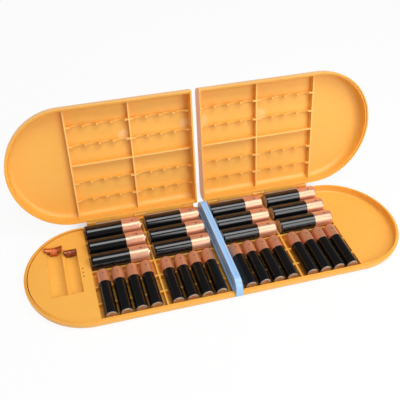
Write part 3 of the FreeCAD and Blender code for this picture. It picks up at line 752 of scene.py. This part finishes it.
@dataclass
class SpringContact:
    """A copper strip folded over the back end of a test well, with a crumpled tongue."""

    node: str
    half_width: float
    tongue_half: float
    path: tuple[tuple[float, float], ...]
    wing_rows: int
    lift: float
    crumple: float
    columns: int = 20
    thickness: float = 0.35 * MM

    def build(self, metal: bpy.types.Material) -> None:
        """Folds the strip, cuts its tongue free, crumples it and thickens it."""
        low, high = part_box(self.node)
        middle, back = (low.x + high.x) / 2, high.y
        rows = len(self.path) - 1
        deselect()
        bpy.ops.mesh.primitive_grid_add(
            x_subdivisions=self.columns, y_subdivisions=rows, size=1.0
        )
        strip = bpy.context.object
        strip.name = f"{self.node}_strip"
        strip.scale = (self.half_width * 2, float(rows), 1.0)
        bpy.ops.object.transform_apply(location=False, rotation=False, scale=True)
        self.fold(strip, rows)
        self.trim(strip, rows)
        self.wrinkle(strip)
        shell = strip.modifiers.new("sheet", "SOLIDIFY")
        shell.thickness = self.thickness
        shell.offset = -1.0
        edge = strip.modifiers.new("edge", "BEVEL")
        edge.width = self.thickness * 0.25
        edge.segments = 1
        for name in ("sheet", "edge"):
            bpy.ops.object.modifier_apply(modifier=name)
        seat(strip, Matrix.Translation((middle, back, 0.0)))
        smooth(strip, 50.0)
        dress(strip, metal)
        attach(strip, "case_base")
        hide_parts(self.node)

    def fold(self, strip: bpy.types.Object, rows: int) -> None:
        """Moves each row of the flat grid to its point of the fold's path."""
        only(strip)
        for row, (forward, height) in enumerate(self.path):
            flat = row - rows / 2
            pick(strip, lambda co: abs(co.y - flat) < 0.3 and abs(co.z) < 1e-6)
            bpy.ops.transform.translate(value=(0, -forward - flat, height))
        bpy.ops.object.mode_set(mode="OBJECT")

    def trim(self, strip: bpy.types.Object, rows: int) -> None:
        """Takes away what is beside the tongue, and lifts the wings' outer corners."""
        floor = self.path[self.wing_rows][1]
        bpy.ops.object.mode_set(mode="OBJECT")
        for part in (*strip.data.vertices, *strip.data.edges, *strip.data.polygons):
            part.select = False
        for face in strip.data.polygons:
            beside = abs(face.center.x) > self.tongue_half
            front = face.center.y < -self.path[self.wing_rows][0] + 0.05 * MM
            face.select = beside and front and face.center.z < floor
        bpy.ops.object.mode_set(mode="EDIT")
        bpy.ops.mesh.select_mode(type="FACE")
        bpy.ops.mesh.delete(type="FACE")
        bpy.ops.mesh.select_mode(type="VERT")
        steps = 4
        for step in range(1, steps + 1):
            reach = self.tongue_half + (self.half_width - self.tongue_half) * (
                (step - 0.5) / steps
            )
            pick(strip, lambda co: abs(co.x) > reach)
            bpy.ops.transform.translate(value=(0, self.lift * 0.2, self.lift / steps))
        bpy.ops.object.mode_set(mode="OBJECT")

    def wrinkle(self, strip: bpy.types.Object) -> None:
        """Presses shallow wrinkles into the tongue, strip by strip."""
        pitch = self.half_width * 2 / self.columns
        for column in range(-self.columns // 2, self.columns // 2 + 1):
            across = column * pitch
            if abs(across) > self.tongue_half * 0.95:
                continue
            for row in range(1, len(self.path) - 1):
                height = self.path[row][1]
                wave = math.sin(column * 1.9 + row * 2.3) * math.cos(row * 1.3 - column)
                pick(
                    strip,
                    lambda co: abs(co.x - across) < pitch * 0.3
                    and abs(co.z - height) < 0.12 * MM,
                )
                push = wave * self.crumple
                bpy.ops.transform.translate(value=(0, -push, push * 0.6))
        bpy.ops.object.mode_set(mode="OBJECT")


@dataclass
class Tester:
    """Board, chip, lights and spring contacts under and in the deck."""

    def build(self) -> None:
        """Dresses the board and its chip, and makes the lights."""
        dress(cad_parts["tester_circuit_board"], BoardLaminate().make())
        dress(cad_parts["tester_chip"], MouldedEpoxy().make())
        copper = SPRING_COPPER.make()
        for cell in ("aa", "aaa"):
            dress(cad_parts[f"{cell}_negative_contact"], copper)
        self.wide_contact().build(copper)
        self.narrow_contact().build(DULL_COPPER.make())
        for verdict in Verdict:
            self.make_light(*verdict.value)
        log.info("tester made")

    def wide_contact(self) -> SpringContact:
        """The AA well's contact: two lit wings and a crumpled tongue."""
        path = (
            (0.2 * MM, 5.4 * MM),
            (0.1 * MM, 8.6 * MM),
            (0.4 * MM, 9.7 * MM),
            (1.6 * MM, 9.5 * MM),
            (3.0 * MM, 8.9 * MM),
            (3.9 * MM, 7.9 * MM),
            (4.5 * MM, 6.7 * MM),
            (4.8 * MM, 5.5 * MM),
            (4.6 * MM, 4.3 * MM),
        )
        return SpringContact(
            node="aa_positive_contact", half_width=7.7 * MM, tongue_half=3.0 * MM,
            path=path, wing_rows=5, lift=0.7 * MM, crumple=0.42 * MM,
        )

    def narrow_contact(self) -> SpringContact:
        """The AAA well's contact: a dull flange over a dark upright face."""
        path = (
            (0.2 * MM, 5.6 * MM),
            (0.1 * MM, 8.5 * MM),
            (0.4 * MM, 9.5 * MM),
            (1.7 * MM, 9.3 * MM),
            (2.9 * MM, 8.7 * MM),
            (3.4 * MM, 7.7 * MM),
            (3.7 * MM, 6.6 * MM),
            (3.7 * MM, 5.5 * MM),
            (3.4 * MM, 4.5 * MM),
        )
        return SpringContact(
            node="aaa_positive_contact", half_width=5.4 * MM, tongue_half=4.1 * MM,
            path=path, wing_rows=5, lift=0.3 * MM, crumple=0.26 * MM,
        )

    def make_light(self, node: str, slot: str, colour: Colour) -> None:
        """A small flanged light with a domed cap.

        Args:
            node: The node that it replaces.
            slot: The record's material slot; not used.
            colour: The cap's tint.
        """
        low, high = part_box(node)
        radius, height = (high.x - low.x) / 2, high.z - low.z
        rings = [(radius * 0.5, 0.0), (radius, 0.0), (radius, height * 0.22)]
        rings += [(radius * 0.86, height * 0.26), (radius * 0.86, height * 0.78)]
        for step in range(1, 6):
            lean = math.radians(15 * step)
            across = radius * 0.86 * math.cos(lean)
            rings.append((across, height * (0.78 + 0.22 * math.sin(lean))))
        light = lathe(f"{node}_lens", rings, 20)
        middle = Vector(((low.x + high.x) / 2, (low.y + high.y) / 2, low.z))
        seat(light, Matrix.Translation(middle))
        smooth(light)
        dress(light, TintedLens(f"{node}_tint", colour).make())
        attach(light, "case_base")
        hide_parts(node)


# --------------------------------------------------------------------------- cells


class CellSize(Enum):
    """The two sizes of cell, by the start of their nodes' names."""

    AA = "aa_battery"
    AAA = "aaa_battery"


@dataclass
class CellPack:
    """All the cells of one size: turned cans in a two-part printed sleeve."""

    size: CellSize
    count: int
    along: Place
    button_radius: float
    button_height: float
    copper_share: float
    plus_size: float
    black_shine: float
    copper: Colour
    copper_metallic: float
    copper_roughness: float
    black: Colour = (0.005, 0.005, 0.0055)
    black_roughness: float = 0.08
    copper_shine: float = 1.5
    around: int = 48

    def build(self) -> None:
        """Makes one cell, copies it to every place and dresses it."""
        first = f"{self.size.value}_01"
        low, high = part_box(first)
        extent = high - low
        self.length = max(extent)
        self.radius = extent.z / 2
        pattern = self.turn_can()
        self.wrap(pattern)
        self.part_out(pattern)
        for number in range(1, self.count + 1):
            node = f"{self.size.value}_{number:02d}"
            cell = pattern
            if number < self.count:
                cell = copy_of(pattern, f"{node}_cell")
            cell.name = f"{node}_cell"
            self.lay(cell, node)
        log.info("%d cells %s made", self.count, self.size.name)

    def profile(self) -> list[tuple[float, float]]:
        """Rings of the can from its flat end to its button."""
        r, top = self.radius, self.length - self.button_height
        button, tip = self.button_radius, self.length
        return [
            (r * 0.10, 0.45 * MM),
            (r * 0.52, 0.45 * MM),
            (r * 0.60, 0.10 * MM),
            (r * 0.66, 0.0),
            (r * 0.74, 0.05 * MM),
            (r * 0.78, 0.50 * MM),
            (r * 0.84, 0.50 * MM),
            (r * 0.87, 0.06 * MM),
            (r * 0.91, 0.0),
            (r * 0.955, 0.20 * MM),
            (r * 0.965, 0.55 * MM),
            (r * 0.985, 0.62 * MM),
            (r, 1.0 * MM),
            (r, 1.9 * MM),
            (r, self.split_at - 0.02 * MM),
            (r, self.split_at),
            (r, top - 1.9 * MM),
            (r, top - 1.0 * MM),
            (r * 0.982, top - 0.35 * MM),
            (r * 0.94, top - 0.04 * MM),
            (r * 0.90, top),
            (r * 0.875, top - 0.12 * MM),
            (r * 0.87, top - 0.55 * MM),
            (r * 0.80, top - 0.60 * MM),
            (button * 1.50, top - 0.50 * MM),
            (button * 1.22, top - 0.25 * MM),
            (button * 1.06, top + 0.10 * MM),
            (button, top + 0.35 * MM),
            (button, tip - 0.28 * MM),
            (button * 0.93, tip - 0.06 * MM),
            (button * 0.82, tip),
            (button * 0.10, tip),
        ]

    @property
    def split_at(self) -> float:
        """Where the black part of the sleeve ends, from the flat end."""
        top = self.length - self.button_height
        return top * (1 - self.copper_share)

    def turn_can(self) -> bpy.types.Object:
        """The can with both ends, standing on the Z axis."""
        return lathe(f"{self.size.value}_pattern", self.profile(), self.around)

    def wrap(self, can: bpy.types.Object) -> None:
        """Gives the can its UV map: u round it and v along it."""
        chart = can.data.uv_layers.new(name="wrap")
        for face in can.data.polygons:
            turns = []
            for at in face.loop_indices:
                spot = can.data.vertices[can.data.loops[at].vertex_index].co
                turns.append(math.atan2(spot.y, spot.x) / (2 * math.pi) % 1.0)
            crosses = max(turns) - min(turns) > 0.5
            for at, turn in zip(face.loop_indices, turns):
                spot = can.data.vertices[can.data.loops[at].vertex_index].co
                u = turn + 1.0 if crosses and turn < 0.5 else turn
                chart.data[at].uv = (u, spot.z / self.length)

    def part_out(self, can: bpy.types.Object) -> None:
        """Gives each zone of the can its own finish."""
        top = self.length - self.button_height
        plus_at = self.split_at + (top - self.split_at) * 0.60
        black = SleeveFilm(
            f"{self.size.name}_black_film", self.black, 0.0, self.black_roughness,
            self.black_shine, self.radius, self.length,
        )
        copper = SleeveFilm(
            f"{self.size.name}_copper_film", self.copper, self.copper_metallic,
            self.copper_roughness, self.copper_shine, self.radius, self.length, plus_at,
            self.plus_size,
        )
        dress(
            can, black.make(), copper.make(), NICKEL.make(), GASKET.make(),
            FLAT_END_PAINTED_REFLECTION.make(),
        )
        r = self.radius
        for face in can.data.polygons:
            spot = face.center
            out = max(can.data.vertices[at].co.xy.length for at in face.vertices)
            zone = 2
            if out > r * 0.915 and spot.z < self.split_at:
                zone = 0
            elif out > r * 0.878 and spot.z >= self.split_at:
                zone = 1
            elif r * 0.775 < out < r * 0.845 and spot.z < 1 * MM:
                zone = 3
            # Zone 4, the flat end inside the film, takes the painted reflection of the orange
            # tray.
            elif spot.z < self.split_at:
                zone = 4
            face.material_index = zone

    def lay(self, cell: bpy.types.Object, node: str) -> None:
        """Lays a standing cell down in its node's place."""
        low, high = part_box(node)
        middle = (low + high) / 2
        run = Vector(self.along)
        up = Vector((0, 0, 1))
        turned = Matrix((up, run.cross(up), run)).transposed().to_4x4()
        foot = middle - run * (self.length / 2)
        seat(cell, Matrix.Translation(foot) @ turned)
        smooth(cell)
        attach(cell, node)
        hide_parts(node)


# ---------------------------------------------------------------------------- main


def main() -> None:
    """Builds the scene in order."""
    logging.basicConfig(level=logging.INFO, format="%(name)s: %(message)s")
    bpy.context.scene.view_settings.view_transform = "Standard"
    Studio().build()
    CaseShell().build()
    BarAndPins().build()
    Tester().build()
    CellPack(
        size=CellSize.AA, count=12, along=(1, 0, 0), button_radius=2.75 * MM,
        button_height=1.4 * MM, copper_share=0.335, plus_size=1.9 * MM,
        black_shine=1.65, copper=(0.79, 0.42, 0.27), copper_metallic=0.65,
        copper_roughness=0.31,
    ).build()
    CellPack(
        size=CellSize.AAA, count=16, along=(0, 1, 0), button_radius=1.9 * MM,
        button_height=1.2 * MM, copper_share=0.285, plus_size=1.4 * MM,
        black_shine=1.5, copper=(0.78, 0.37, 0.22), copper_metallic=0.6,
        copper_roughness=0.28,
    ).build()
    log.info("scene ready")


if __name__ == "__main__":
    main()
